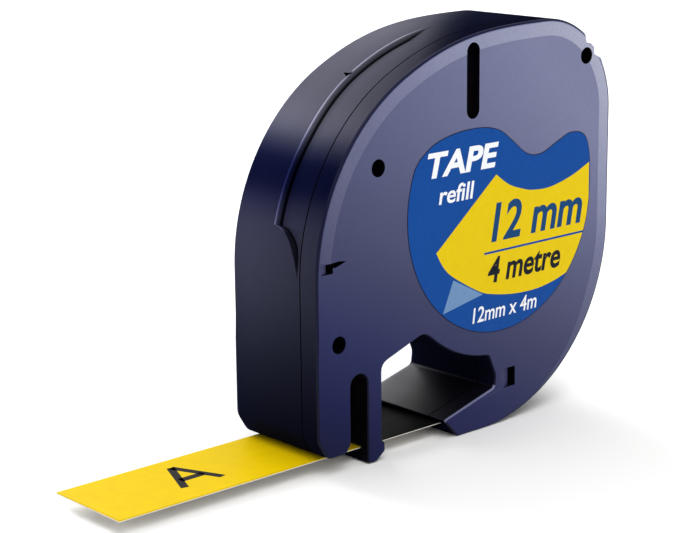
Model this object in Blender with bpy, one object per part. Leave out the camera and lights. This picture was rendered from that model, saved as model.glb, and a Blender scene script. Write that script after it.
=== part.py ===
"""Label tape cassette: two moulded shells round a spool of tape, with a strip fed out at the side.

Metres, +Z up. The face is in the XZ plane and looks along -Y. Outlines are drawn in millimetres:
x from the case's left edge, z from the surface that the cassette stands on.
"""

import math

import bmesh
import bpy
from mathutils import Matrix, Vector

MM = 0.001

# Case, in millimetres
CASE_WIDTH = 50.2
CASE_HEIGHT = 50.15
CASE_DEPTH = 15.2
COVER_DEPTH = 2.75
SEAM = 0.3
PLATE = 1.3
BACK_WALL = 1.3
WALL = 1.2
BELLY_WALL = 1.0
ARCH_WALL = 0.9

# Curved parts of the outline: (centre x, centre z, radius)
SHOULDER = (25.6, 22.75, 25.6)
CORNER = (38.0, 37.95, 12.2)
BELLY = (26.95, 23.25, 23.25)
BAY_ARCH = (29.4, 26.15, 16.9)
SHOULDER_END = 117.6
STEP_DEPTH = 0.8
STEP_BACK = 8.0
STEP_FADES = (21.5, 26.8)
NOTCHED = (32.4, 53.3)
NOTCHES = (
    (47.75, 44.72), (47.12, 45.05), (47.02, 45.9), (46.5, 46.38), (45.6, 46.6),
)

# Feet, cutter slot and tape line
CUTTER_SLOT = (5.1, 7.76, 11.4)
FOOT_BOTTOM = 2.1
TAPE_Z = 1.75
SLIT_HALF = 0.45
SLIT = (7.0, 24.5)
SLIT_MARGIN = 0.35

# Tape and what carries it
TAPE_WIDTH = 12.0
TAPE_OUT = 27.0
TAPE_THICK = 0.12
LINER_THICK = 0.08
STRIP_INNER_END = 30.0
SPOOL = (29.4, 26.15)
ROLL_RADIUS = 15.5
CORE_RADIUS = 6.0
CORE_BORE = 3.4
POST_RADIUS = 3.0
POST_BORE = 1.8
ROLLER = (31.2, 3.15)
ROLLER_RADIUS = 1.2
ROLLER_BORE = 0.75
PIN_RADIUS = 0.5
CLEAR = 0.3

# Face details
HOLE_RADIUS = 1.05
HOLES = ((9.65, 35.4), (3.3, 15.6), (45.5, 44.95))
OBLONG = (24.07, 26.23, 39.3, 48.45)
LATCH_WINDOW = (30.8, 32.95, 4.5, 7.1)
HOOK_POCKET = (0.55, 2.6, 23.9, 25.5)
POCKET_DEPTH = 1.0
STICKER_CIRCLE = (30.4, 28.3, 16.1)
STICKER_TOP = (
    (16.3, 35.4), (18.8, 37.0), (22.6, 37.9), (26.8, 38.0), (29.8, 37.3), (32.0, 35.8), (34.6, 33.9),
    (37.2, 33.5), (40.4, 34.7), (42.9, 35.5), (45.4, 34.8), (46.4, 31.8), (46.4, 26.6),
)
STICKER_MIDDLE = (30.4, 26.0)
STICKER_GROWTH = 0.02
STICKER_PROUD = 0.1
STICKER_THICK = 0.15

# Frame: the box round everything is centred on X and Y
X_SHIFT = (CASE_WIDTH - TAPE_OUT) / 2
Y_FACE = -(CASE_DEPTH - STICKER_PROUD) / 2
ARC_STEP = 5.0


def world(x, y, z):
    """A point from outline x and z, and depth y behind the face, all in millimetres."""
    return Vector(((x - X_SHIFT) * MM, (y + Y_FACE) * MM, z * MM))


# ---------------------------------------------------------------- outlines

def arc(circle, start, end, inset=0.0):
    """Points along a circle, from start to end degrees, with the radius made smaller by inset."""
    cx, cz, radius = circle
    count = max(2, round(abs(end - start) / ARC_STEP))
    turns = [math.radians(start + (end - start) * i / count) for i in range(count + 1)]
    return [(cx + (radius - inset) * math.cos(t), cz + (radius - inset) * math.sin(t)) for t in turns]


def bezier(ends, handles, count=8):
    """Points of a cubic curve between two ends, both ends included."""
    (a, d), (b, c) = ends, handles
    points = []
    for i in range(count + 1):
        t = i / count
        weights = ((1 - t) ** 3, 3 * t * (1 - t) ** 2, 3 * t * t * (1 - t), t ** 3)
        points.append(tuple(sum(w * p[k] for w, p in zip(weights, (a, b, c, d))) for k in (0, 1)))
    return points


def catmull(points, per_span=4):
    """A smooth open curve through all the points."""
    full = [points[0], *points, points[-1]]
    out = []
    for p0, p1, p2, p3 in zip(full, full[1:], full[2:], full[3:]):
        for i in range(per_span):
            t = i / per_span
            out.append(tuple(
                0.5 * (2 * p1[k] + (p2[k] - p0[k]) * t + (2 * p0[k] - 5 * p1[k] + 4 * p2[k] - p3[k]) * t * t
                       + (3 * p1[k] - p0[k] - 3 * p2[k] + p3[k]) * t ** 3)
                for k in (0, 1)
            ))
    return out + [points[-1]]


def angle_at(circle, z):
    """The angle at which the circle's lower right quarter crosses a height."""
    centre_z, radius = circle[1:]
    return math.degrees(math.asin((z - centre_z) / radius))


def crown(inset, fades=False):
    """The shoulder arc and the long top curve, set back by inset, which runs out on the top if it fades."""
    turn = math.radians(SHOULDER_END)
    start = arc(SHOULDER, SHOULDER_END, SHOULDER_END)[-1]
    along = (start[0] + 9.0 * math.sin(turn), start[1] - 9.0 * math.cos(turn))
    curve = bezier((start, (CORNER[0], CASE_HEIGHT)), (along, (28.0, CASE_HEIGHT)), 14)
    top = []
    for before, here, after in zip(curve, curve[1:], curve[2:]):
        tangent = Vector((after[0] - before[0], after[1] - before[1])).normalized()
        full, gone = STEP_FADES
        kept = min(1.0, max(0.0, (gone - here[0]) / (gone - full))) if fades else 1.0
        top.append((here[0] + tangent.y * inset * kept, here[1] - tangent.x * inset * kept))
    end = (CORNER[0], CASE_HEIGHT - (0.0 if fades else inset))
    return arc(SHOULDER, 168, SHOULDER_END, inset) + top + [end]


def feet():
    """From the left wall's foot along the underside to the belly: foot, cutter slot, leg, bay and nose."""
    left, right, top = CUTTER_SLOT
    slot_radius = (right - left) / 2
    slot_arc = arc((left + slot_radius, top - slot_radius, slot_radius), 180, 0)
    arch = arc(BAY_ARCH, -135.7, -94.2)
    return [
        (0.0, 4.5), (1.5, FOOT_BOTTOM), (4.4, FOOT_BOTTOM), (left, 3.0),
        *slot_arc,
        (right, 0.6), (8.2, 0.0), (9.0, 0.0), (10.5, 1.15), (10.5, 2.15), (10.05, 2.5),
        (10.05, 11.7), (10.35, 12.2),
        *arch,
        (29.35, 6.4), (29.2, 4.85), (20.5, 2.52), (22.7, 0.0),
    ]


def case_outline(step=0.0):
    """The whole outline, anticlockwise from the foot of the left wall. step sets the crown back."""
    belly = arc(BELLY, -90, 0)
    corner = [*arc(CORNER, 0, NOTCHED[0]), *NOTCHES, *arc(CORNER, NOTCHED[1], 90)]
    left = arc(SHOULDER, 180, 168)
    return [*feet(), *belly, *corner, *crown(step, fades=True)[-2::-1], *left[::-1]]


def cavity_outline():
    """The hollow inside both shells: spool chamber, empty left corner and tape channel."""
    left = arc(SHOULDER, 180, 168, WALL)
    channel = TAPE_Z - SLIT_HALF
    inner_belly = (BELLY[0], BELLY[1], BELLY[2] - BELLY_WALL)
    belly = arc(inner_belly, angle_at(inner_belly, channel), 0)
    corner = arc(CORNER, 0, 90, WALL)
    arch = arc(BAY_ARCH, -86, -136, ARCH_WALL)
    return [
        (1.2, 14.0), (9.8, 14.0), *arch[::-1], (30.45, 6.5), (30.35, 4.85), (29.3, 3.8),
        (24.0, TAPE_Z + SLIT_HALF), (24.0, channel), *belly, *corner, *crown(WALL)[-2::-1], *left[::-1],
    ]


def sticker_outline():
    return [*arc(STICKER_CIRCLE, 158, 346), *catmull(STICKER_TOP)[::-1]]


# ---------------------------------------------------------------- solids

def material(name, color, roughness, metallic=0.0):
    made = bpy.data.materials.new(name)
    made.use_nodes = True
    shader = made.node_tree.nodes["Principled BSDF"]
    shader.inputs["Base Color"].default_value = (*color, 1.0)
    shader.inputs["Roughness"].default_value = roughness
    shader.inputs["Metallic"].default_value = metallic
    return made


def finish(name, bm, look=None, pivot=None):
    """An object from a bmesh in world metres. pivot puts its origin on a joint's axis."""
    bmesh.ops.recalc_face_normals(bm, faces=bm.faces)
    origin = pivot or Vector((0.0, 0.0, 0.0))
    bm.transform(Matrix.Translation(-origin))
    mesh = bpy.data.meshes.new(name)
    bm.to_mesh(mesh)
    bm.free()
    mesh.shade_smooth()
    mesh.set_sharp_from_angle(angle=math.radians(30))
    made = bpy.data.objects.new(name, mesh)
    made.location = origin
    bpy.context.scene.collection.objects.link(made)
    if look:
        mesh.materials.append(look)
    else:
        made.hide_render = True
        made.display_type = "WIRE"
    return made


def prism(name, outline, front, back, look=None, pivot=None):
    """The outline as a solid between two depths behind the face."""
    bm = bmesh.new()
    face = bm.faces.new([bm.verts.new(world(x, front, z)) for x, z in outline])
    side = bmesh.ops.extrude_face_region(bm, geom=[face])["geom"]
    shift = Vector((0.0, (back - front) * MM, 0.0))
    bmesh.ops.translate(bm, vec=shift, verts=[v for v in side if isinstance(v, bmesh.types.BMVert)])
    return finish(name, bm, look, pivot)


def disc(centre, radius, sides):
    turns = [2 * math.pi * i / sides for i in range(sides)]
    return [(centre[0] + radius * math.cos(t), centre[1] + radius * math.sin(t)) for t in turns]


def box(x0, x1, z0, z1):
    return [(x0, z0), (x1, z0), (x1, z1), (x0, z1)]


def tube(name, centre, outer, bore, front, back, look, sides=64):
    """A ring along Y with its origin on its own axis."""
    bm = bmesh.new()
    rings = [
        [bm.verts.new(world(x, depth, z)) for x, z in disc(centre, radius, sides)]
        for radius, depth in ((outer, front), (outer, back), (bore, back), (bore, front))
    ]
    for ring, following in zip(rings, rings[1:] + rings[:1]):
        for i in range(sides):
            j = (i + 1) % sides
            bm.faces.new((ring[i], ring[j], following[j], following[i]))
    return finish(name, bm, look, world(centre[0], 0.0, centre[1]))


def boolean(target, tool, operation="DIFFERENCE"):
    step = target.modifiers.new(f"{operation.lower()} {tool.name}", "BOOLEAN")
    step.operation = operation
    step.solver = "EXACT"
    step.object = tool


# ---------------------------------------------------------------- parts

def rear_case(look):
    """The deep shell, with its spool post, its roller pin and the slit that the tape runs through."""
    front = COVER_DEPTH + SEAM
    case = prism("rear_case", case_outline(STEP_DEPTH), front, CASE_DEPTH, look)
    boolean(case, prism("rear band", case_outline(), STEP_BACK, CASE_DEPTH), "UNION")
    boolean(case, prism("case hollow", cavity_outline(), front - 1, CASE_DEPTH - BACK_WALL))
    overlap = CASE_DEPTH - BACK_WALL / 2
    boolean(case, prism("spool post", disc(SPOOL, POST_RADIUS, 40), PLATE + CLEAR, overlap), "UNION")
    boolean(case, prism("post bore", disc(SPOOL, POST_BORE, 32), 0, CASE_DEPTH - BACK_WALL))
    boolean(case, prism("roller pin", disc(ROLLER, PIN_RADIUS, 16), PLATE + CLEAR, overlap), "UNION")
    boolean(case, tape_slit("case slit"))
    return case


def tape_slit(name):
    """One slot through the leg and the nose, a little wider than the tape."""
    edge = (CASE_DEPTH - TAPE_WIDTH) / 2 - SLIT_MARGIN
    outline = box(*SLIT, TAPE_Z - SLIT_HALF, TAPE_Z + SLIT_HALF)
    return prism(name, outline, edge, CASE_DEPTH - edge)


def front_cover(look):
    """The shallow shell with the face: holes, oblong slot, latch window, hook pocket and sticker recess."""
    cover = prism("front_cover", case_outline(), 0.0, COVER_DEPTH, look)
    boolean(cover, prism("cover hollow", cavity_outline(), PLATE, COVER_DEPTH + 1))
    boolean(cover, tape_slit("cover slit"))
    for number, centre in enumerate(HOLES, 1):
        boolean(cover, prism(f"face hole {number}", disc(centre, HOLE_RADIUS, 28), -1, POCKET_DEPTH))
    x0, x1, z0, z1 = OBLONG
    radius = (x1 - x0) / 2
    ends = arc((x0 + radius, z1 - radius, radius), 0, 180) + arc((x0 + radius, z0 + radius, radius), 180, 360)
    boolean(cover, prism("oblong slot", ends, -1, POCKET_DEPTH))
    boolean(cover, prism("latch window", box(*LATCH_WINDOW), -1, POCKET_DEPTH))
    boolean(cover, prism("hook pocket", box(*HOOK_POCKET), -1, POCKET_DEPTH))
    recess = STICKER_THICK - STICKER_PROUD + CLEAR
    middle = Vector(STICKER_MIDDLE)
    grown = [tuple(point + (point - middle) * STICKER_GROWTH) for point in map(Vector, sticker_outline())]
    boolean(cover, prism("sticker recess", grown, -1, recess))
    return cover


def tape_run(look):
    """The stretch inside the case: off the roll, down past the belly and round the roller."""
    half = (TAPE_THICK + LINER_THICK) / 2
    reach = ROLLER_RADIUS + 2 * half
    leave = ROLL_RADIUS + CLEAR + half
    across = Vector((ROLLER[0] - SPOOL[0], ROLLER[1] - SPOOL[1]))
    lean = math.acos((leave - reach) / across.length)
    tangent = math.degrees(math.atan2(across.y, across.x) + lean)
    sides = []
    for offset in (-half, half):
        bend = arc((*ROLLER, reach + offset), -90, tangent)
        roll = arc((*SPOOL, leave + offset), tangent, tangent + 60)
        start = (STRIP_INNER_END + CLEAR, ROLLER[1] - reach - offset)
        sides.append([start, *bend, *roll])
    front, back = tape_depths()
    return prism("tape_run", sides[0] + sides[1][::-1], front, back, look)


def tape_depths():
    front = (CASE_DEPTH - TAPE_WIDTH) / 2
    return front, front + TAPE_WIDTH


def tape_strip(film_look, liner_look):
    """The straight strip out of the case: plastic film on its paper liner."""
    front, back = tape_depths()
    gap = 0.02
    film = box(-TAPE_OUT, STRIP_INNER_END, TAPE_Z, TAPE_Z + TAPE_THICK)
    liner = box(-TAPE_OUT, STRIP_INNER_END, TAPE_Z - gap - LINER_THICK, TAPE_Z - gap)
    prism("tape_strip", film, front, back, film_look)
    prism("strip_liner", liner, front, back, liner_look)


def build():
    for old in list(bpy.data.objects):
        bpy.data.objects.remove(old, do_unlink=True)
    shell = material("case plastic", (0.085, 0.085, 0.14), 0.4)
    face = material("face plastic", (0.16, 0.16, 0.30), 0.35)
    film = material("yellow film", (0.82, 0.56, 0.02), 0.35)
    liner = material("liner paper", (0.85, 0.83, 0.76), 0.8)
    hub = material("hub plastic", (0.75, 0.75, 0.73), 0.5)
    wound = material("wound tape", (0.8, 0.55, 0.05), 0.5)
    front, back = tape_depths()
    rear_case(shell)
    front_cover(face)
    prism("face_label", sticker_outline(), -STICKER_PROUD, STICKER_THICK - STICKER_PROUD,
          material("sticker film", (0.02, 0.09, 0.32), 0.3))
    tube("spool_core", SPOOL, CORE_RADIUS, CORE_BORE, front, back, hub)
    tube("tape_roll", SPOOL, ROLL_RADIUS, CORE_RADIUS + CLEAR, front, back, wound, 96)
    tube("guide_roller", ROLLER, ROLLER_RADIUS, ROLLER_BORE, front, back, hub, 24)
    tape_run(film)
    tape_strip(film, liner)


build()
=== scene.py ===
"""Looks of the label tape cassette: moulded shells, printed sticker, tape, studio floor, light and camera."""

import math
from functools import partial

import bmesh
import bpy
from mathutils import Matrix, Quaternion, Vector


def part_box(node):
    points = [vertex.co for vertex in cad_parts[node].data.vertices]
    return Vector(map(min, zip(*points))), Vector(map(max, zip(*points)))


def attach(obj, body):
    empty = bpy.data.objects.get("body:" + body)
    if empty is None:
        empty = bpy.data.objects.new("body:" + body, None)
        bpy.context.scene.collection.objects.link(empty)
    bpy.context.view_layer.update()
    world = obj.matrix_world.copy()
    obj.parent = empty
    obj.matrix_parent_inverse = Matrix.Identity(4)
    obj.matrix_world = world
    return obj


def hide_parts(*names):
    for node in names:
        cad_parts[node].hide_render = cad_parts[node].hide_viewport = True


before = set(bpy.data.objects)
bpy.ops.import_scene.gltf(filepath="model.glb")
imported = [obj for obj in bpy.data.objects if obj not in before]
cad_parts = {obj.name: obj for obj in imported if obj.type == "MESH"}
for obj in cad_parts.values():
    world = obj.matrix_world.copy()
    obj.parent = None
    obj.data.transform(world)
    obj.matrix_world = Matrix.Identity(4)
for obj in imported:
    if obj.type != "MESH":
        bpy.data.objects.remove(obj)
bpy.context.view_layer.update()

MM = 0.001
PAINTED_LIGHT = "shade"       # mesh attribute: painted highlight (above 0) or painted shade (below 0), how much lighter or darker a point's colour is
FINE = 2.5            # degrees between the points of an arc

# The outline's own coordinates, in millimetres: x from the case's left edge, z from the floor,
# y behind the face. The frame says where they start.
CASE_LOW, CASE_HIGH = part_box("front_cover")
BACK_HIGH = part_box("rear_case")[1]
STRIP_LOW, STRIP_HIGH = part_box("tape_strip")
ORIGIN = Vector((CASE_LOW.x, CASE_LOW.y, CASE_LOW.z))
CASE_HEIGHT = (CASE_HIGH.z - CASE_LOW.z) / MM
CASE_DEPTH = (BACK_HIGH.y - CASE_LOW.y) / MM
TAPE_TOP = (STRIP_HIGH.z - CASE_LOW.z) / MM
TAPE_FRONT = (STRIP_LOW.y - CASE_LOW.y) / MM
TAPE_BACK = (STRIP_HIGH.y - CASE_LOW.y) / MM
TAPE_END = (STRIP_LOW.x - CASE_LOW.x) / MM
TAPE_INNER = (STRIP_HIGH.x - CASE_LOW.x) / MM

# Curved parts of the outline: (centre x, centre z, radius)
SHOULDER = (25.6, 22.75, 25.6)
CORNER = (38.0, 37.95, 12.2)
BELLY = (26.95, 23.25, 23.25)
BAY_ARCH = (29.4, 26.15, 16.9)

SHOULDER_END = 117.6      # degrees at which the shoulder's arc gives way to the long top curve
NOTCHED = (32.4, 53.3)    # degrees of the corner that the notches take up
NOTCHES = ((47.75, 44.72), (47.12, 45.05), (47.02, 45.9), (46.5, 46.38), (45.6, 46.6))
CUTTER_SLOT = (5.1, 7.76, 11.4)    # left, right, top
FOOT_BOTTOM = 2.1
TAPE_LINE = 1.75      # height of the strip
SLIT_HALF = 0.45
WALL = 1.2
PLATE = 1.3           # thickness of the face
BACK_WALL = 1.3
ARCH_WALL = 0.9
SHARP = 35            # degrees above which an edge between two faces stays sharp
SEAM_DEPTH = 2.9      # where the two shells meet
SEAM_GAP = 0.05

RIM_ROUND = 0.28      # rounding of the face's edge
BACK_ROUND = 0.7
STEP = 0.65           # how far the middle band has sunk below the rear band at the step
EDGE_DEPTH = 7.7      # front edge of the rear band, low on the shoulder
EDGE_RISE = 0.65      # how much deeper that edge lies at the crown
# The corners of the moulding mark beside the bead: degrees round the shoulder from the left, and depth
NICK = ((61.0, 9.75), (61.3, 8.35), (59.4, 8.55))
LEAF_LOW, LEAF_HIGH = 22.6, 28.9    # where the edge of the rear band sweeps forward to the seam
LEAF_SHADE = -0.8     # painted shade that darkens the riser there
FADE_START, FADE_END = 21.5, 26.8   # where the step runs out on the crown

HOLES = ((9.65, 35.4), (3.3, 15.6), (45.5, 44.95))
HOLE_RADIUS = 1.05
BAND_END = 25.6       # height at which the light border of the face starts on the left
NOSE_BOX = (18.0, 31.0, 6.5)    # left, right, top
# Openings in the face, and the floor of the bay: left, right, low, high
OBLONG = (24.07, 26.23, 39.3, 48.45)
LATCH = (30.8, 32.95, 4.5, 7.0)
HOOK = (0.62, 2.5, 24.2, 25.4)
BAY_FLOOR = (20.5, 29.3, 2.3, 5.3)
HOOK_FIN = ((2.2, 24.9), (2.9, 24.8), (4.6, 25.33), (3.4, 25.5), (2.2, 25.4))
LIP_LEFT, LIP_RIGHT = 20.0, 29.4    # the stretch of the face's rounded edge with a painted highlight, in front of the bay's floor
RIDGE = 0.34          # how far in from the face's edge the light border starts
BORDER_WIDTH = 2.05


def at(x, y, z):
    """World metres from outline x and z and depth y behind the face, in millimetres."""
    return ORIGIN + Vector((x, y, z)) * MM


# ------------------------------------------------------------------ outlines

def arc(circle, start, end, inset=0.0, step=FINE):
    cx, cz, radius = circle
    count = max(2, round(abs(end - start) / step))
    turns = [math.radians(start + (end - start) * i / count) for i in range(count + 1)]
    return [(cx + (radius - inset) * math.cos(t), cz + (radius - inset) * math.sin(t)) for t in turns]


def bezier(a, b, c, d, count=16):
    points = []
    for i in range(count + 1):
        t = i / count
        weights = ((1 - t) ** 3, 3 * t * (1 - t) ** 2, 3 * t * t * (1 - t), t ** 3)
        points.append(tuple(sum(w * p[k] for w, p in zip(weights, (a, b, c, d))) for k in (0, 1)))
    return points


def catmull(points, per_span=8):
    full = [points[0], *points, points[-1]]
    out = []
    for p0, p1, p2, p3 in zip(full, full[1:], full[2:], full[3:]):
        for i in range(per_span):
            t = i / per_span
            out.append(tuple(
                0.5 * (2 * p1[k] + (p2[k] - p0[k]) * t + (2 * p0[k] - 5 * p1[k] + 4 * p2[k] - p3[k]) * t * t
                       + (3 * p1[k] - p0[k] - 3 * p2[k] + p3[k]) * t ** 3)
                for k in (0, 1)
            ))
    return out + [points[-1]]


def rounded(points, radius, steps=4):
    """An open run of points with each inner corner turned into a small arc-like curve."""
    out = [points[0]]
    for before, here, after in zip(points, points[1:], points[2:]):
        b, h, a = (Vector(p) for p in (before, here, after))
        near = h + (b - h).normalized() * min(radius, (b - h).length * 0.45)
        far = h + (a - h).normalized() * min(radius, (a - h).length * 0.45)
        for i in range(steps + 1):
            t = i / steps
            out.append(tuple((1 - t) ** 2 * near + 2 * t * (1 - t) * h + t * t * far))
    return out + [points[-1]]


def crown(inset=0.0):
    """Shoulder arc and long top curve, from the left wall to the corner."""
    shoulder = arc(SHOULDER, 180, 165, inset, 0.5) + arc(SHOULDER, 165, SHOULDER_END, inset)[1:]
    turn = math.radians(SHOULDER_END)
    start = shoulder[-1]
    handle = (start[0] + 9.0 * math.sin(turn), start[1] - 9.0 * math.cos(turn))
    top = CASE_HEIGHT - inset
    return shoulder + bezier(start, handle, (28.0, top), (CORNER[0], top))[1:]


def underside():
    """From the left wall's foot along the feet, the cutter slot, the leg and the bay to the nose."""
    left, right, top = CUTTER_SLOT
    radius = (right - left) / 2
    slot = arc((left + radius, top - radius, radius), 180, 0, step=12)
    foot = rounded([(0.0, 6.0), (0.0, 4.5), (1.5, FOOT_BOTTOM), (4.3, FOOT_BOTTOM), (left, 3.1),
                    slot[0]], 0.7)
    leg = rounded([slot[-1], (right, 0.15), (9.0, 0.0), (10.55, 1.1), (10.5, 2.2), (10.02, 2.5),
                   (10.05, 6.0)], 0.35)
    arch = arc(BAY_ARCH, -135.0, -95.0)
    roof = rounded([(10.05, 6.0), (10.05, 11.9), (17.0, 14.3), arch[2]], 1.0)
    nose = rounded([arch[-3], (28.2, 9.24), (29.4, 6.4), (29.2, 4.85), (20.5, 2.5), (22.75, 0.0),
                    (26.95, 0.0)], 0.35)
    return [*foot, *slot[1:-1], *leg, *roof[1:], *arch[3:-3], *nose]


def corner_with_notches():
    """The top right corner, with two small moulding notches."""
    first, last = NOTCHED
    return [*arc(CORNER, 0, first), *NOTCHES, *arc(CORNER, last, 90)]


def case_outline():
    """The whole outline, anticlockwise seen from the front, from the left wall's foot."""
    belly = arc(BELLY, -90, 0)
    top = crown()[::-1]
    # Closer points just below where the rear band's edge meets the seam
    wall = [(0.0, z) for z in (22.5, 22.25, 22.0, 21.75, 21.5, 21.0, 20.0, 17.0, 14.0, 11.0, 8.0)]
    return [*underside(), *belly[1:], *corner_with_notches(), *top[1:], *wall]


def cavity_outline():
    """The hollow inside, with the channel that the tape leaves the nose through."""
    belly = arc(BELLY, -80.6, 0, WALL - 0.2)
    corner = arc(CORNER, 0, 90, WALL)
    arch = arc(BAY_ARCH, -86, -136, ARCH_WALL)
    low, high = TAPE_LINE - SLIT_HALF, TAPE_LINE + SLIT_HALF
    return [(1.2, 14.0), (9.8, 14.0), *arch[::-1], (30.45, 6.5), (30.35, 4.85), (29.3, 3.8), (24.0, high),
            (24.0, low), *belly, *corner, *crown(WALL)[::-1][1:]]


def room_at(x, z):
    """How far in an edge may be rounded before the outline's fine detail would fold over itself."""
    if NOSE_BOX[0] < x < NOSE_BOX[1] and z < NOSE_BOX[2]:
        return 0.15 if x < 21.5 else 0.3
    if x < 30 and z < 14.5:
        return 0.45
    if x > 45 and z > 44:
        return 0.12
    return 1000.0


def normals_of(points):
    """Outward miter normals of a closed anticlockwise outline, and the room for rounding at each point."""
    out = []
    count = len(points)
    for i, here in enumerate(points):
        before, after = Vector(points[i - 1]), Vector(points[(i + 1) % count])
        here = Vector(here)
        first, second = (here - before), (after - here)
        n1 = Vector((first.y, -first.x)).normalized()
        n2 = Vector((second.y, -second.x)).normalized()
        middle = (n1 + n2).normalized()
        out.append((middle / max(0.6, middle.dot(n1)), room_at(here.x, here.y)))
    return out


# ------------------------------------------------------------------ solids

def material_slot(obj, *looks):
    obj.data.materials.clear()
    for look in looks:
        obj.data.materials.append(look)


def piece(name, bm, *looks, sharp=SHARP):
    """Turns a bmesh into a named object with its materials and smooth shading."""
    bmesh.ops.recalc_face_normals(bm, faces=bm.faces)
    mesh = bpy.data.meshes.new(name)
    bm.to_mesh(mesh)
    bm.free()
    made = bpy.data.objects.new(name, mesh)
    bpy.context.scene.collection.objects.link(made)
    for look in looks:
        mesh.materials.append(look)
    shade_smooth(mesh, sharp)
    return made


def shade_smooth(mesh, sharp=SHARP):
    mesh.shade_smooth()
    mesh.set_sharp_from_angle(angle=math.radians(sharp))


def skin(bm, rings):
    """Closes a solid: walls from each ring of vertices to the next, and a cap on the first and the last."""
    size = len(rings[0])
    walls = []
    for near, far in zip(rings, rings[1:]):
        for i in range(size):
            j = (i + 1) % size
            walls.append(bm.faces.new((near[i], near[j], far[j], far[i])))
    bm.faces.new(rings[0])
    bm.faces.new(rings[-1])
    return walls


def prism(name, outline, front, back, *looks, sharp=SHARP):
    """The outline as a closed solid between two depths."""
    bm = bmesh.new()
    skin(bm, [[bm.verts.new(at(x, depth, z)) for x, z in outline] for depth in (front, back)])
    return piece(name, bm, *looks, sharp=sharp)


def loft(name, outline, rows, *looks):
    """A closed solid whose wall follows rows of (depth, inset, shade), each a function of the point.

    The shade goes into a mesh attribute that case_plastic adds to the brightness of its colour: painted shade
    below 0, painted highlight above 0.
    """
    bm = bmesh.new()
    shading = bm.verts.layers.float.new(PAINTED_LIGHT)
    normals = normals_of(outline)
    rings = []
    for row in rows:
        ring = []
        for (x, z), (normal, room) in zip(outline, normals):
            depth, inset, *shaded = row(x, z)
            shift = inset * room / (abs(inset) + room)
            vertex = bm.verts.new(at(x - normal.x * shift, depth, z - normal.y * shift))
            vertex[shading] = sum(shaded)
            ring.append(vertex)
        rings.append(ring)
    skin(bm, rings)
    return piece(name, bm, *looks)


def cut(target, *tools):
    """Cuts each tool from the target and applies it, then removes the tools."""
    for tool in tools:
        step = target.modifiers.new("cut", "BOOLEAN")
        step.operation = "DIFFERENCE"
        step.solver = "EXACT"
        step.object = tool
        step.material_mode = "TRANSFER"
    graph = bpy.context.evaluated_depsgraph_get()
    mesh = bpy.data.meshes.new_from_object(target.evaluated_get(graph))
    target.modifiers.clear()
    target.data = mesh
    shade_smooth(mesh)
    for tool in tools:
        bpy.data.objects.remove(tool, do_unlink=True)


def disc(centre, radius, sides=48):
    turns = [2 * math.pi * i / sides for i in range(sides)]
    return [(centre[0] + radius * math.cos(t), centre[1] + radius * math.sin(t)) for t in turns]


# ------------------------------------------------------------------ materials

class Nodes:
    """A short way to wire a procedural Principled material."""

    def __init__(self, name):
        self.material = bpy.data.materials.new(name)
        self.material.use_nodes = True
        self.tree = self.material.node_tree
        self.shader = self.tree.nodes["Principled BSDF"]

    def add(self, kind, **values):
        node = self.tree.nodes.new(kind)
        for key, value in values.items():
            setattr(node, key, value)
        return node

    def link(self, source, target):
        self.tree.links.new(source, target)

    def place(self):
        return self.add("ShaderNodeTexCoord").outputs["Object"]

    def noise(self, scale, detail=3.0, rough=0.5):
        node = self.add("ShaderNodeTexNoise")
        node.inputs["Scale"].default_value = scale
        node.inputs["Detail"].default_value = detail
        node.inputs["Roughness"].default_value = rough
        self.link(self.place(), node.inputs["Vector"])
        return node.outputs["Fac"]

    def ramp(self, fac, stops, smoothing="LINEAR"):
        node = self.add("ShaderNodeValToRGB")
        ramp = node.color_ramp
        ramp.interpolation = smoothing
        while len(ramp.elements) < len(stops):
            ramp.elements.new(0.5)
        for element, (position, color) in zip(ramp.elements, stops):
            element.position = position
            element.color = (*color, 1.0)
        self.link(fac, node.inputs["Fac"])
        return node.outputs["Color"]

    def map_range(self, value, low, high, to_low=0.0, to_high=1.0):
        node = self.add("ShaderNodeMapRange")
        for key, number in zip(("From Min", "From Max", "To Min", "To Max"), (low, high, to_low, to_high)):
            node.inputs[key].default_value = number
        self.link(value, node.inputs["Value"])
        return node.outputs["Result"]

    def math(self, operation, a, b):
        node = self.add("ShaderNodeMath", operation=operation)
        for socket, value in zip(node.inputs, (a, b)):
            if isinstance(value, (int, float)):
                socket.default_value = value
            else:
                self.link(value, socket)
        return node.outputs["Value"]

    def mix(self, fac, a, b, blend="MIX"):
        node = self.add("ShaderNodeMix", data_type="RGBA", blend_type=blend)
        for socket, value in ((node.inputs[0], fac), (node.inputs[6], a), (node.inputs[7], b)):
            if isinstance(value, (int, float)):
                socket.default_value = value
            elif isinstance(value, tuple):
                socket.default_value = (*value, 1.0)
            else:
                self.link(value, socket)
        return node.outputs[2]

    def axis(self, name):
        node = self.add("ShaderNodeSeparateXYZ")
        self.link(self.place(), node.inputs["Vector"])
        return node.outputs[name]

    def bump(self, height, strength, distance):
        node = self.add("ShaderNodeBump")
        node.inputs["Strength"].default_value = strength
        node.inputs["Distance"].default_value = distance
        self.link(height, node.inputs["Height"])
        self.link(node.outputs["Normal"], self.shader.inputs["Normal"])

    def color(self, source):
        self.link(source, self.shader.inputs["Base Color"])

    def rough(self, noise, low, high):
        self.link(self.map_range(noise, 0.3, 0.7, low, high), self.shader.inputs["Roughness"])

    def set(self, **values):
        for key, value in values.items():
            self.shader.inputs[key.replace("_", " ")].default_value = value


def linear(r, g, b):
    """A displayed colour, 0 to 255, as the linear one a shader takes."""
    return tuple((c / 255 / 12.92) if c <= 10 else ((c / 255 + 0.055) / 1.055) ** 2.4 for c in (r, g, b))


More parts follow.
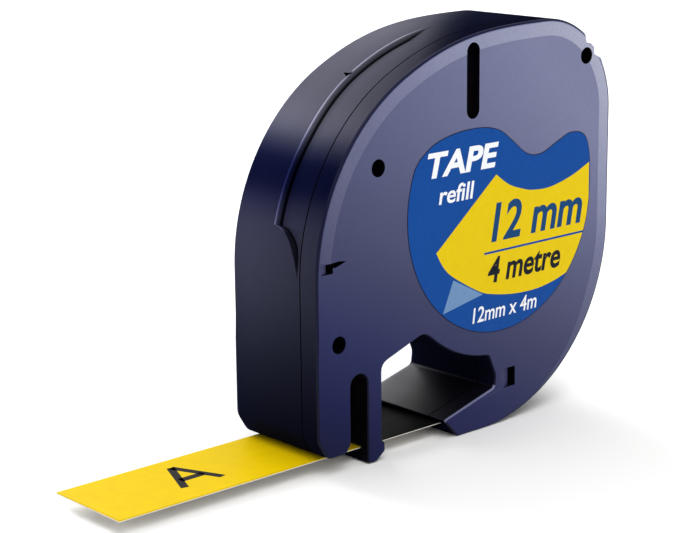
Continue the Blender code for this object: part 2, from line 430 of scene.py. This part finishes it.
def plastic(n, color, rough, specular):
    """Fine-grained moulded plastic over a colour socket."""
    fleck = n.map_range(n.noise(5200.0, 2.0), 0.35, 0.65, 0.95, 1.05)
    n.color(n.mix(1.0, color, fleck, "MULTIPLY"))
    n.rough(n.noise(240.0, 4.0), rough - 0.03, rough + 0.05)
    n.bump(n.noise(7000.0, 2.0), 0.2, 0.00002)
    n.set(Specular_IOR_Level=specular)
    return n.material


def face_plastic(name, stops, rough=0.45, specular=0.1):
    """Navy plastic with painted light: from deep navy low on the left to lavender high on the right."""
    n = Nodes(name)
    height = n.map_range(n.axis("Z"), CASE_LOW.z, CASE_LOW.z + FACE_SPAN * MM)
    climb = n.ramp(height, [(z / FACE_SPAN, (level / FACE_FULL,) * 3) for z, level in FACE_LIGHT_CLIMB])
    across = n.map_range(n.axis("X"), CASE_LOW.x, CASE_LOW.x + FACE_SPAN * MM, 0.0, FACE_SPAN / FACE_FULL)
    cloud = n.math("MULTIPLY", n.math("SUBTRACT", n.noise(60.0, 2.0), 0.5), 0.02)
    level = n.math("ADD", n.math("ADD", climb, across), cloud)
    colors = [(place / FACE_FULL, linear(*color)) for place, color in stops]
    return plastic(n, n.ramp(level, colors), rough, specular)


def spread(stops, value):
    """Stops (place, ...) as a ramp's, from 0 at the first place to 1 at the last; value makes the colour."""
    first, last = stops[0][0], stops[-1][0]
    return [((place - first) / (last - first), value(look)) for place, look in stops]


def case_plastic(name, rough=0.4):
    """Dark plastic with a painted sheen, a painted reflection that changes round the shoulder: grey, a navy
    gap, grey again, dark on top.

    The right side and the back, which the photograph doesn't show, are plain navy.
    """
    n = Nodes(name)
    down = n.math("SUBTRACT", at(0, 0, SHOULDER[1]).z, n.axis("Z"))
    left = n.math("SUBTRACT", at(SHOULDER[0], 0, 0).x, n.axis("X"))
    turn = n.math("MULTIPLY", n.math("ARCTAN2", down, left), 180 / math.pi)
    wobble = n.math("MULTIPLY", n.math("SUBTRACT", n.noise(90.0, 2.0), 0.5), 2.0)
    turn = n.math("ADD", turn, wobble)
    bands = n.map_range(turn, PAINTED_SHEEN[0][0], PAINTED_SHEEN[-1][0])
    painted_sheen = n.ramp(bands, spread(PAINTED_SHEEN, lambda shown: linear(*shown)), "B_SPLINE")
    nearer = n.math("SUBTRACT", at(0, TOP_REAR, 0).y, n.axis("Y"))
    past = n.math("SUBTRACT", n.math("MULTIPLY", nearer, TOP_SOONER / MM), turn)
    fade = n.map_range(past, TOP_FADE[0][0], TOP_FADE[-1][0])
    top = n.ramp(fade, spread(TOP_FADE, lambda dark: (dark,) * 3))
    color = n.mix(top, painted_sheen, linear(17, 19, 37))
    # The right side and the back: navy with painted light, lighter towards the top
    right = n.map_range(n.axis("X"), at(43, 0, 0).x, at(49.5, 0, 0).x)
    height = n.map_range(n.axis("Z"), CASE_LOW.z, CASE_HIGH.z)
    color = n.mix(right, color, n.ramp(height, [(0.0, linear(26, 28, 54)), (1.0, linear(46, 48, 76))]))
    back = n.map_range(n.axis("Y"), at(0, CASE_DEPTH - 0.6, 0).y, at(0, CASE_DEPTH - 0.05, 0).y)
    color = n.mix(back, color, n.ramp(height, [(0.0, linear(24, 27, 60)), (1.0, linear(62, 64, 96))]))
    # Painted shade darker towards the face, times the mesh attribute's painted shade and highlight
    painted_front_shade = n.map_range(n.axis("Y"), at(0, 1.0, 0).y, at(0, 12.0, 0).y, 0.6, 1.0)
    painted_light_gain = n.math("ADD", n.add("ShaderNodeAttribute", attribute_name=PAINTED_LIGHT).outputs["Fac"], 1.0)
    color = n.mix(1.0, color, n.math("MULTIPLY", painted_light_gain, painted_front_shade), "MULTIPLY")
    return plastic(n, color, rough, 0.0)


def wedge_plastic(name):
    """The floor of the bay, light from the window behind it and dark towards the front."""
    n = Nodes(name)
    depth = n.map_range(n.axis("Y"), at(0, 4, 0).y, at(0, 15, 0).y)
    stops = [(0.0, linear(9, 9, 18)), (0.4, linear(16, 16, 24)), (0.65, linear(44, 44, 52)),
             (1.0, linear(66, 66, 74))]
    return plastic(n, n.ramp(depth, stops), 0.4, 0.1)


def recess_shade_plastic(name):
    """Nearly black painted shade, for the insides of holes, pockets and slots."""
    n = Nodes(name)
    return plastic(n, n.ramp(n.noise(300.0), [(0.3, linear(2, 2, 5)), (0.7, linear(6, 6, 10))]), 0.6, 0.02)


def rim_plastic(name):
    """Deep navy for the rounded edge of the face, with painted light making it a little lighter at the top.
    """
    n = Nodes(name)
    height = n.map_range(n.axis("Z"), CASE_LOW.z, CASE_HIGH.z)
    return plastic(n, n.ramp(height, [(0.0, linear(6, 8, 30)), (1.0, linear(20, 22, 52))]), 0.35, 0.1)


def printed(name, color):
    """Gloss printed film, with the faint unevenness of ink."""
    n = Nodes(name)
    ink = n.map_range(n.noise(900.0, 3.0), 0.3, 0.7, 0.98, 1.02)
    n.color(n.mix(1.0, color, ink, "MULTIPLY"))
    n.rough(n.noise(400.0, 2.0), 0.24, 0.34)
    n.bump(n.noise(1500.0, 2.0), 0.02, 0.00001)
    n.set(Specular_IOR_Level=0.05)
    return n.material


def tape_film():
    """Yellow film: bright outside the case, dark and unlit where it crosses the print-head bay."""
    n = Nodes("tape_film")
    along = n.map_range(n.axis("X"), at(DARK_FROM, 0, 0).x, at(DARK_BY, 0, 0).x)
    unlit = n.ramp(along, [(0.0, (0.0,) * 3), (0.7, (0.65,) * 3), (0.85, (0.8,) * 3), (1.0, (1.0,) * 3)])
    brushed = n.map_range(n.noise(700.0, 3.0), 0.3, 0.7, 0.97, 1.03)
    yellow = n.mix(1.0, linear(216, 183, 4), brushed, "MULTIPLY")
    n.color(n.mix(unlit, yellow, linear(12, 12, 12)))
    n.rough(n.noise(350.0, 2.0), 0.33, 0.42)
    n.bump(n.noise(1200.0, 2.0), 0.08, 0.00001)
    n.set(Specular_IOR_Level=0.02)
    return n.material


def wound():
    """The edges of many turns of tape: fine rings of film and liner."""
    n = Nodes("wound_tape")
    centre = (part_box("tape_roll")[0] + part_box("tape_roll")[1]) / 2
    move = n.add("ShaderNodeVectorMath", operation="SUBTRACT")
    move.inputs[1].default_value = (centre.x, 0.0, centre.z)
    n.link(n.place(), move.inputs[0])
    flat = n.add("ShaderNodeVectorMath", operation="MULTIPLY")
    flat.inputs[1].default_value = (1.0, 0.0, 1.0)
    n.link(move.outputs["Vector"], flat.inputs[0])
    length = n.add("ShaderNodeVectorMath", operation="LENGTH")
    n.link(flat.outputs["Vector"], length.inputs[0])
    ring = n.math("FRACT", n.math("MULTIPLY", length.outputs["Value"], 1.0 / (TURN_THICK * MM)), 0.0)
    color = n.ramp(ring, [(0.0, (0.75, 0.7, 0.55)), (0.35, (0.78, 0.55, 0.05)), (1.0, (0.7, 0.46, 0.02))])
    n.color(color)
    n.link(n.map_range(ring, 0.0, 1.0, 0.45, 0.6), n.shader.inputs["Roughness"])
    n.bump(ring, 0.4, 0.00003)
    return n.material


def liner_paper():
    """Fibrous coated paper, with the fine slit down its middle that it is peeled off by."""
    n = Nodes("liner_paper")
    fibre = n.map_range(n.noise(3000.0, 5.0, 0.65), 0.3, 0.7, 0.9, 1.05)
    middle = (TAPE_FRONT + TAPE_BACK) / 2
    across = n.math("ABSOLUTE", n.math("SUBTRACT", n.axis("Y"), at(0, middle, 0).y), 0.0)
    slit = n.map_range(across, 0.00004, 0.0001, 0.45, 1.0)
    paper = n.mix(1.0, (0.78, 0.75, 0.68), fibre, "MULTIPLY")
    n.color(n.mix(1.0, paper, slit, "MULTIPLY"))
    n.link(n.map_range(fibre, 0.9, 1.05, 0.75, 0.9), n.shader.inputs["Roughness"])
    n.bump(n.noise(3000.0, 5.0, 0.65), 0.25, 0.00002)
    return n.material


def hub_plastic():
    """Undyed plastic of the hub and the roller."""
    n = Nodes("hub_plastic")
    n.color(n.ramp(n.noise(300.0), [(0.3, (0.66, 0.66, 0.64)), (0.7, (0.74, 0.74, 0.72))]))
    n.rough(n.noise(500.0), 0.42, 0.55)
    n.bump(n.noise(4000.0), 0.2, 0.00002)
    return n.material


# Where the film starts to darken and where it is fully dark. At full feed the first 3.5 mm of this comes out.
DARK_FROM, DARK_BY = 4.6, 9.4
TURN_THICK = 0.2      # film and liner together

# The painted sheen round the shoulder, a painted reflection: degrees below its centre's level (negative is
# above) and colour, 0 to 255.
# This is light rather than pigment, typed to match colours measured in the photograph.
PAINTED_SHEEN = (
    (-90, (102, 102, 113)), (-80, (98, 98, 110)), (-70, (88, 88, 101)), (-52, (87, 87, 100)),
    (-46, (95, 95, 110)), (-41, (93, 93, 110)), (-37, (58, 60, 82)), (-33, (22, 26, 56)), (-30, (14, 18, 48)),
    (-24, (10, 14, 44)), (-20, (34, 36, 64)), (-14, (58, 59, 80)), (-4, (58, 59, 78)), (6, (51, 53, 71)),
    (14, (41, 43, 61)), (22, (31, 33, 50)), (34, (11, 13, 31)),
)
# How far the painted sheen has given way to the dark of the top (0 to 1), by degrees up the shoulder at the
# depth TOP_REAR;
# nearer the face it comes sooner, by TOP_SOONER degrees a millimetre
TOP_FADE = ((70, 0.0), (74, 0.01), (85, 0.13), (92, 0.25), (96, 0.38), (100, 0.48), (104, 0.68), (108, 0.85),
            (112, 0.95), (118, 1.0))
TOP_REAR = 12.5
TOP_SOONER = 2.6
# How bright the painted light makes the face up its left edge, by height, out of FACE_FULL; each millimetre
# to the right adds one
FACE_SPAN = 50
FACE_FULL = 140
FACE_LIGHT_CLIMB = ((3, 22), (8, 30), (12, 38), (16, 46), (20, 55), (24, 64), (30, 74), (36, 83), (42, 90),
              (48, 95))
# The face's colours under its painted light, from deep navy to lavender
FACE = face_plastic("face_plastic_navy", (
    (20, (2, 6, 46)), (33, (18, 23, 68)), (50, (38, 42, 85)), (70, (59, 62, 95)), (86, (75, 78, 110)),
    (97, (86, 90, 122)), (112, (101, 104, 136)), (130, (118, 121, 152)),
))
# Lighter colours for the raised border, under the same painted light as the face
BAND = face_plastic("face_plastic_border", (
    (68, (70, 73, 103)), (80, (84, 87, 116)), (97, (103, 106, 135)), (106, (114, 117, 147)),
    (114, (128, 131, 159)), (127, (143, 146, 171)), (140, (160, 163, 185)),
), rough=0.4)
# A painted highlight along the face's rounded edge in front of the bay's floor
LIP_HIGHLIGHT = face_plastic("lip_painted_highlight", ((0, (98, 100, 134)), (140, (130, 132, 165))), rough=0.3)
CASE = case_plastic("case_plastic_dark")
WEDGE = wedge_plastic("bay_plastic")
RECESS_SHADE = recess_shade_plastic("recess_painted_shade")
RIM = rim_plastic("rim_plastic")


# ------------------------------------------------------------------ shells

def smooth(value, low, high):
    t = min(1.0, max(0.0, (value - low) / (high - low)))
    return t * t * (3 - 2 * t)


def on_crown(x, z):
    """True for the stretch of the outline that can carry the step: left wall, shoulder and crown."""
    return z > LEAF_LOW - 1 and x < FADE_END and not (x > 9 and z < 40)


def step_at(x, z):
    """(depth of the rear band's front edge, set-back of the middle band) at a point of the outline."""
    if not on_crown(x, z):
        return (EDGE_DEPTH + EDGE_RISE, 0.0) if z > 48 else (SEAM_DEPTH + 1.6, 0.0)
    lift = (z - LEAF_LOW) / (LEAF_HIGH - LEAF_LOW)
    if lift < 1.0:
        sweep = 1 - (1 - max(0.0, lift) ** 2) ** 0.5
        edge = SEAM_DEPTH + 0.5 + (EDGE_DEPTH - SEAM_DEPTH - 0.5) * sweep
        return edge, STEP * smooth(lift, 0.0, 0.75)
    edge = EDGE_DEPTH + EDGE_RISE * smooth(z, 38.0, 48.0)
    fade = 1.0 - smooth(x, FADE_START, FADE_END) if z > 44.0 else 1.0
    return edge, STEP * fade


# The step between the bands, from front to back: depth past the edge in mm, share of the set-back, how far it
# stands proud in mm, and its painted shade (below 0) or painted highlight (above 0). A painted dark line of
# shade, the riser in painted shade, then a painted highlight on the bead.
STEP_PROFILE = (
    (-1.3, 0.88, 0.0, 0.0), (-0.34, 0.98, 0.0, -0.1), (-0.28, 1.0, -0.05, -0.9), (-0.06, 1.0, -0.03, -0.95),
    (0.0, 0.82, 0.0, -0.9), (0.04, 0.66, 0.0, -0.45), (0.1, 0.25, 0.0, -0.1), (0.17, 0.04, 0.03, 0.4),
    (0.22, 0.0, 0.06, 2.6), (0.38, 0.0, 0.06, 2.6), (0.46, 0.0, 0.0, 0.0),
)


def rear_shell():
    """The deep shell: a middle band sloping in to a beaded step, the rear band and a rounded back edge."""
    front = SEAM_DEPTH + SEAM_GAP

    def step_row(x, z, past, share, proud, shade):
        edge, deep = step_at(x, z)
        strength = deep / STEP
        squeeze = min(1.0, (edge - front - 0.2) / 1.6) if past < 0 else 1.0
        # Low on the wall the bead's painted highlight goes, and the start of the riser takes LEAF_SHADE's
        # painted shade
        if past >= 0:
            leaf = 1.0 - smooth(z, LEAF_HIGH - 0.6, LEAF_HIGH)
            shade = (1.0 - leaf) * shade + leaf * LEAF_SHADE * (past < 0.2)
        depth = edge + past * squeeze * (0.04 + 0.96 * strength)
        return depth, deep * share - proud * strength, shade * smooth(strength, 0.0, 0.4)

    rows = [lambda x, z: (front, 0.5), lambda x, z: (front, 0.04), lambda x, z: (front + 0.04, 0.0)]
    rows += [partial(step_row, past=past, share=share, proud=proud, shade=shade)
             for past, share, proud, shade in STEP_PROFILE]
    rows += [lambda x, z: (EDGE_DEPTH + 2.4, 0.0), lambda x, z: (CASE_DEPTH - BACK_ROUND - 0.3, 0.0)]
    for i in range(7):
        turn = math.pi / 2 * i / 6
        point = CASE_DEPTH - BACK_ROUND * (1 - math.sin(turn)), BACK_ROUND * (1 - math.cos(turn))
        rows.append(lambda x, z, fixed=point: fixed)
    rows.append(lambda x, z: (CASE_DEPTH, BACK_ROUND + 0.12))
    shell = loft("rear_shell", case_outline(), rows, CASE, WEDGE)
    hollow = prism("hollow", cavity_outline(), 0.0, CASE_DEPTH - BACK_WALL, CASE)
    cut(shell, hollow, slit("slit_rear"), nick())
    paint_openings(shell)
    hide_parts("rear_case")
    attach(shell, "root")


def nick():
    """A cutter for the small moulding mark in the rear band, beside the bead, dark with painted shade."""
    cx, cz, radius = SHOULDER
    bm = bmesh.new()
    rings = []
    for reach in (radius - 0.35, radius + 0.6):
        ring = []
        for degrees, depth in NICK:
            turn = math.radians(180 - degrees)
            ring.append(bm.verts.new(at(cx + reach * math.cos(turn), depth, cz + reach * math.sin(turn))))
        rings.append(ring)
    skin(bm, rings)
    return piece("nick", bm, RECESS_SHADE)


def paint_openings(shell):
    """Near-black painted shade for the seam and the deep cutter slot, and the bay floor's painted light and
    shade.
    """
    left, right, top = CUTTER_SLOT
    floor_left, floor_right, floor_low, floor_high = BAY_FLOOR
    looks = shell.data.materials
    dark, wedge = looks.find(RECESS_SHADE.name), looks.find(WEDGE.name)
    for polygon in shell.data.polygons:
        x, y, z = (polygon.center - ORIGIN) / MM
        across = abs(polygon.normal.y) < 0.3
        in_slot = left - 0.05 < x < right + 0.05 and FOOT_BOTTOM + 1.0 < z < top + 0.05
        in_seam = not across and abs(y - SEAM_DEPTH) < 0.1
        on_floor = floor_left < x < floor_right and floor_low < z < floor_high and y > RIM_ROUND
        if across and in_slot or in_seam:
            polygon.material_index = dark
        elif across and polygon.normal.z > 0.5 and on_floor:
            polygon.material_index = wedge


def slit(name):
    """A cutter for the slit that the tape passes through, in the leg and the nose."""
    margin = 0.3
    low, high = TAPE_LINE - SLIT_HALF, TAPE_LINE + SLIT_HALF
    outline = [(7.0, low), (25.0, low), (25.0, high), (7.0, high)]
    # Its walls carry the near-black painted shade
    return prism(name, outline, TAPE_FRONT - margin, TAPE_BACK + margin, RECESS_SHADE)


def pocket(name, outline, depth):
    """A cutter for a blind pocket whose floor and walls come out dark with painted shade."""
    return prism(name, outline, -1.0, depth, RECESS_SHADE)


def ramp_pocket(name, place, shallow, deep):
    """A cutter for a pocket whose floor slopes down from its left edge, then drops to its full depth."""
    left, right, low, high = place
    drop = left + (right - left) * 0.62
    profile = [(left, -1.0), (left, 0.0), (drop, shallow), (drop, deep), (right, deep), (right, -1.0)]
    bm = bmesh.new()
    walls = skin(bm, [[bm.verts.new(at(x, y, z)) for x, y in profile] for z in (low, high)])
    # The sloping floor takes the face's look, the rest the near-black painted shade
    walls[1].material_index = 1
    return piece(name, bm, RECESS_SHADE, FACE)


def cover_shell():
    """The shallow shell with the face, its softly rounded rim and its holes and pockets."""
    rim = RIM_ROUND
    back = SEAM_DEPTH - SEAM_GAP
    profile = [(0.0, rim + 0.1)]
    for i in range(6):
        turn = math.pi / 2 * i / 5
        profile.append((rim * (1 - math.cos(turn)), rim * (1 - math.sin(turn))))
    profile += [(rim + 0.2, 0.0), (back - 0.04, 0.0), (back, 0.04), (back, 0.5)]
    rows = [lambda x, z, fixed=point: fixed for point in profile]
    looks = (FACE, CASE, RIM, LIP_HIGHLIGHT, WEDGE)
    shell = loft("cover_shell", case_outline(), rows, *looks)
    for polygon in shell.data.polygons:
        x, y, z = (polygon.center - ORIGIN) / MM
        on_lip_highlight = LIP_LEFT < x < LIP_RIGHT and BAY_FLOOR[2] < z < BAY_FLOOR[3]
        look = FACE if y < 0.005 else CASE if y > rim + 0.05 else LIP_HIGHLIGHT if on_lip_highlight else RIM
        polygon.material_index = looks.index(look)
    tools = [prism("hollow", cavity_outline(), PLATE, SEAM_DEPTH + 1.0, CASE), slit("slit_cover")]
    tools += [pocket(f"hole_{i}", disc(centre, HOLE_RADIUS), PLATE + 1.0) for i, centre in enumerate(HOLES)]
    tools.append(pocket("oblong", oblong(), 1.05))
    tools.append(ramp_pocket("latch", LATCH, 0.5, 1.25))
    tools.append(ramp_pocket("hook_main", HOOK, 0.45, 1.2))
    tools.append(pocket("hook_fin", rounded(HOOK_FIN, 0.1), 0.5))
    cut(shell, *tools)
    paint_openings(shell)
    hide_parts("front_cover")
    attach(shell, "root")


def face_band():
    """The lighter border of the face: a thin raised strip along the crown, the corner and the belly."""
    left = [point for point in crown()[::-1][1:] if point[0] > 1.0 or point[1] > BAND_END]
    outline = [*arc(BELLY, -62, 0), *arc(CORNER, 0, 90)[1:], *left]
    path = [Vector(p) for p in outline]
    sides = []
    count = len(path)
    for i, here in enumerate(path):
        before, after = path[max(0, i - 1)], path[min(count - 1, i + 1)]
        along = (after - before).normalized()
        sides.append(Vector((along.y, -along.x)))
    # (inset from the face's edge, depth); below 0 stands proud of the face
    profile = [(RIDGE, 0.03), (0.42, -0.022), (0.7, -0.03), (BORDER_WIDTH - 0.1, -0.03),
               (BORDER_WIDTH, -0.02), (BORDER_WIDTH + 0.03, 0.03)]
    bm = bmesh.new()
    rings = []
    for i, (here, out) in enumerate(zip(path, sides)):
        taper = min(1.0, i / 16.0)
        ring = []
        for inset, depth in profile:
            reach = RIDGE + (inset - RIDGE) * (0.12 + 0.88 * taper)
            ring.append(bm.verts.new(at(here.x - out.x * reach, depth, here.y - out.y * reach)))
        rings.append(ring)
    skin(bm, rings)
    band = piece("face_band", bm, BAND)
    beyond = [(49.0, 44.5), (48.2, 44.4), *((x - 0.12, z - 0.12) for x, z in NOTCHES), (45.25, 47.6),
              (45.5, 49.0)]
    cut(band, pocket("band_slot", oblong(), 1.0), pocket("band_notches", beyond, 1.0),
        *[pocket(f"band_hole_{i}", disc(centre, HOLE_RADIUS), 1.0) for i, centre in enumerate(HOLES)])
    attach(band, "root")


def oblong():
    """The outline of the upright slot in the face, with round ends."""
    left, right, low, high = OBLONG
    middle, radius = (left + right) / 2, (right - left) / 2
    top = arc((middle, high - radius, radius), 0, 180, step=8)
    return top + arc((middle, low + radius, radius), 180, 360, step=8)


# ------------------------------------------------------------------ sticker

STICKER = (30.4, 28.3, 16.1)
STICKER_TOP = (
    (16.3, 35.4), (18.8, 37.0), (22.6, 37.9), (26.8, 38.0), (29.8, 37.3), (32.0, 35.8), (34.6, 33.9),
    (37.2, 33.5), (40.4, 34.7), (42.9, 35.5), (45.4, 34.8), (46.4, 31.8), (46.4, 26.6),
)
PANEL_TOP = ((29.2, 32.0), (31.5, 30.45), (33.85, 29.6), (35.9, 29.15), (39.1, 29.1), (43.1, 30.0),
             (46.35, 31.3))
PANEL_LOW = ((18.95, 23.8), (20.2, 21.85), (21.9, 20.35), (26.3, 17.85), (28.8, 17.05), (32.6, 16.45),
             (36.5, 16.35), (39.6, 16.75), (42.1, 17.4))
PALE_CORNER = ((21.85, 20.0), (20.1, 16.1), (27.0, 17.35))
RULE = ((27.2, 22.25), (45.4, 22.25), (45.4, 22.52), (27.2, 22.52))
WORD_PROUD = 0.068    # how far in front of the face the words lie


def thin(name, outline, proud, thick, look):
    """A thin printed layer standing proud of the face."""
    layer = prism(name, outline, -proud, -proud + thick, look, sharp=20)
    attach(layer, "root")
    return layer


def sticker():
    """The printed label: a dark rim of painted shade round it, the blue base, the yellow panel, a pale corner
    and a rule.
    """
    blue = printed("sticker_blue", linear(10, 70, 146))
    yellow = printed("sticker_yellow", linear(224, 193, 8))
    pale = printed("sticker_pale", linear(108, 142, 182))
    outline = [*arc(STICKER, 158, 346), *catmull(STICKER_TOP)[::-1]]
    normals = normals_of(outline)
    grown = [(x + normal.x * 0.1, z + normal.y * 0.1) for (x, z), (normal, _) in zip(outline, normals)]
    # A thin dark rim just beyond the label's edge: painted shade
    thin("sticker_edge_shade", grown, 0.035, 0.04, RIM)
    base = thin("sticker_base", outline, 0.045, 0.05, blue)
    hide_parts("face_label")
    right = arc(STICKER, -42, -14, 0.02)
    panel = [*catmull(PANEL_LOW), *right, (46.37, 26.6), *catmull(PANEL_TOP)[::-1]]
    thin("sticker_panel", panel, 0.055, 0.012, yellow)
    thin("sticker_corner", PALE_CORNER, 0.055, 0.012, pale)
    thin("sticker_rule", RULE, 0.062, 0.01, blue)


def lettering(name, text, left, base, size, look, shear=0.0, squeeze=1.0, heavy=0.0):
    """Generic words as thin printed shapes on the sticker."""
    curve = bpy.data.curves.new(name, "FONT")
    curve.body = text
    curve.size = size * MM
    curve.shear = shear
    curve.offset = heavy * MM
    curve.extrude = 0.004 * MM
    curve.resolution_u = 6
    made = bpy.data.objects.new(name, curve)
    bpy.context.scene.collection.objects.link(made)
    graph = bpy.context.evaluated_depsgraph_get()
    mesh = bpy.data.meshes.new_from_object(made.evaluated_get(graph))
    bpy.data.objects.remove(made, do_unlink=True)
    bm = bmesh.new()
    bm.from_mesh(mesh)
    bpy.data.meshes.remove(mesh)
    hair = 0.0002 * MM
    bmesh.ops.remove_doubles(bm, verts=bm.verts, dist=hair)
    bmesh.ops.dissolve_degenerate(bm, edges=bm.edges, dist=hair)
    stand = Matrix.Translation(at(left, -WORD_PROUD, base)) @ Matrix.Rotation(math.radians(90), 4, "X")
    bm.transform(stand @ Matrix.Diagonal((squeeze, 1.0, 1.0, 1.0)))
    word = piece(name, bm, look)
    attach(word, "root")


def words():
    white = printed("ink_white", linear(238, 240, 244))
    blue = printed("ink_blue", linear(18, 66, 112))
    black = printed("ink_black", linear(20, 24, 34))
    lettering("word_top", "TAPE", 17.0, 33.1, 4.1, white, shear=0.2, squeeze=1.27, heavy=0.13)
    lettering("word_small", "refill", 19.2, 29.7, 3.0, white, shear=0.15, squeeze=1.12, heavy=0.05)
    lettering("word_large", "12 mm", 27.3, 23.8, 6.6, blue, shear=0.2, squeeze=0.95, heavy=0.15)
    lettering("word_medium", "4 metre", 27.7, 18.6, 4.4, black, shear=0.2, squeeze=0.93, heavy=0.10)
    lettering("word_low", "12mm x 4m", 24.7, 13.95, 2.75, white, shear=0.15, squeeze=0.9, heavy=0.03)


# ------------------------------------------------------------------ tape

def tape():
    """The strip outside, its liner and its letter, and the look of the run inside."""
    film = tape_film()
    ink = printed("ink_black_tape", linear(16, 10, 4))
    strip = plate("tape_film_strip", TAPE_TOP - 0.12, TAPE_TOP, film)
    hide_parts("tape_strip")
    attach(strip, "tape")
    paper = plate("tape_liner_strip", TAPE_TOP - 0.22, TAPE_TOP - 0.125, liner_paper())
    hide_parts("strip_liner")
    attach(paper, "tape")
    sample_letter(ink)
    material_slot(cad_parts["tape_run"], film)


def plate(name, low, high, look):
    """A layer of the strip of tape, with finely rounded long edges."""
    bm = bmesh.new()
    soft = 0.02
    front, back = TAPE_FRONT, TAPE_BACK
    profile = [(front, low + soft), (front + soft, low), (back - soft, low), (back, low + soft),
               (back, high - soft), (back - soft, high), (front + soft, high), (front, high - soft)]
    count = 60
    rings = []
    for i in range(count + 1):
        x = TAPE_END + (TAPE_INNER - TAPE_END) * i / count
        rings.append([bm.verts.new(at(x, y, z)) for y, z in profile])
    skin(bm, rings)
    return piece(name, bm, look)


def sample_letter(ink):
    """A printed sample letter: strokes of even width, read from the front of the cassette."""
    height, half, weight = 6.5, 2.7, 1.05
    base_y, middle = TAPE_FRONT + 3.15, -13.0
    top = (0.0, height)
    bar, bar_height = half * 0.62, height * 0.36
    strokes = [((-half, 0.0), top), ((half, 0.0), top), ((-bar, bar_height), (bar, bar_height))]
    bm = bmesh.new()
    for (x0, y0), (x1, y1) in strokes:
        along = Vector((x1 - x0, y1 - y0)).normalized()
        side = Vector((-along.y, along.x)) * weight / 2
        start, end = Vector((x0, y0)), Vector((x1, y1))
        corners = (start - side, end - side, end + side, start + side)
        ends = [Vector((p.x, min(height, max(0.0, p.y)))) for p in corners]
        skin(bm, [[bm.verts.new(at(middle + p.x, base_y + p.y, TAPE_TOP + proud)) for p in ends]
                  for proud in (-0.004, 0.008)])
    letter = piece("sample_letter", bm, ink)
    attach(letter, "tape")


def inner_looks():
    """Looks of the pieces inside the case, which stay the frame's own solids."""
    hub = hub_plastic()
    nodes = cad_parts
    for name in ("spool_core", "guide_roller"):
        material_slot(nodes[name], hub)
    material_slot(nodes["tape_roll"], wound())


# ------------------------------------------------------------------ studio

FLOOR_HALF = 6.0      # metres
# Name, offset from the middle of the case and side of the square lamp, both in metres, and watts
LAMPS = (("overhead", (0.0, 0.1, 1.3), 1.5, 6.0), ("key", (-0.25, -0.45, 0.75), 0.5, 3.0),
         ("behind", (0.1, 0.7, 0.5), 0.6, 5.5))


def studio():
    """A pale floor, even white surroundings and three soft lamps."""
    scene = bpy.context.scene
    scene.view_settings.view_transform = "Standard"
    bm = bmesh.new()
    bmesh.ops.create_grid(bm, x_segments=1, y_segments=1, size=FLOOR_HALF)
    mesh = bpy.data.meshes.new("floor")
    bm.to_mesh(mesh)
    bm.free()
    floor = bpy.data.objects.new("floor", mesh)
    scene.collection.objects.link(floor)
    n = Nodes("studio_floor")
    n.color(n.ramp(n.noise(3.0), [(0.3, (0.96, 0.96, 0.96)), (0.7, (0.98, 0.98, 0.98))]))
    n.set(Roughness=0.9)
    material_slot(floor, n.material)
    world = bpy.data.worlds.new("studio")
    scene.world = world
    world.use_nodes = True
    back = world.node_tree.nodes["Background"]
    back.inputs["Color"].default_value = (1.0, 1.0, 1.0, 1.0)
    back.inputs["Strength"].default_value = 0.6
    centre = at(24, CASE_DEPTH / 2, 24)
    for name, offset, size, power in LAMPS:
        lamp(name, centre, offset, size, power)


def lamp(name, target, offset, size, power):
    data = bpy.data.lights.new(name, "AREA")
    data.shape = "SQUARE"
    data.size = size
    data.energy = power
    made = bpy.data.objects.new(name, data)
    bpy.context.scene.collection.objects.link(made)
    made.location = target + Vector(offset)
    made.rotation_mode = "QUATERNION"
    made.rotation_quaternion = Vector(offset).to_track_quat("Z", "Y")


# The photograph's viewpoint, in world metres, and how far the camera is rolled, in degrees
EYE = (-0.14842, -0.16467, 0.07629)
TARGET = (0.00026, 0.0, 0.02213)
ROLL = -0.586
LENS = 98.2


def camera():
    data = bpy.data.cameras.new("camera")
    data.lens = LENS
    data.sensor_width = 36.0
    data.clip_start, data.clip_end = 0.01, 20.0
    made = bpy.data.objects.new("camera", data)
    bpy.context.scene.collection.objects.link(made)
    eye = Vector(EYE)
    roll = Quaternion((0.0, 0.0, 1.0), math.radians(ROLL))
    made.location = eye
    made.rotation_mode = "QUATERNION"
    made.rotation_quaternion = (eye - Vector(TARGET)).to_track_quat("Z", "Y") @ roll
    bpy.context.scene.camera = made


camera()
rear_shell()
cover_shell()
face_band()
sticker()
words()
tape()
inner_looks()
studio()
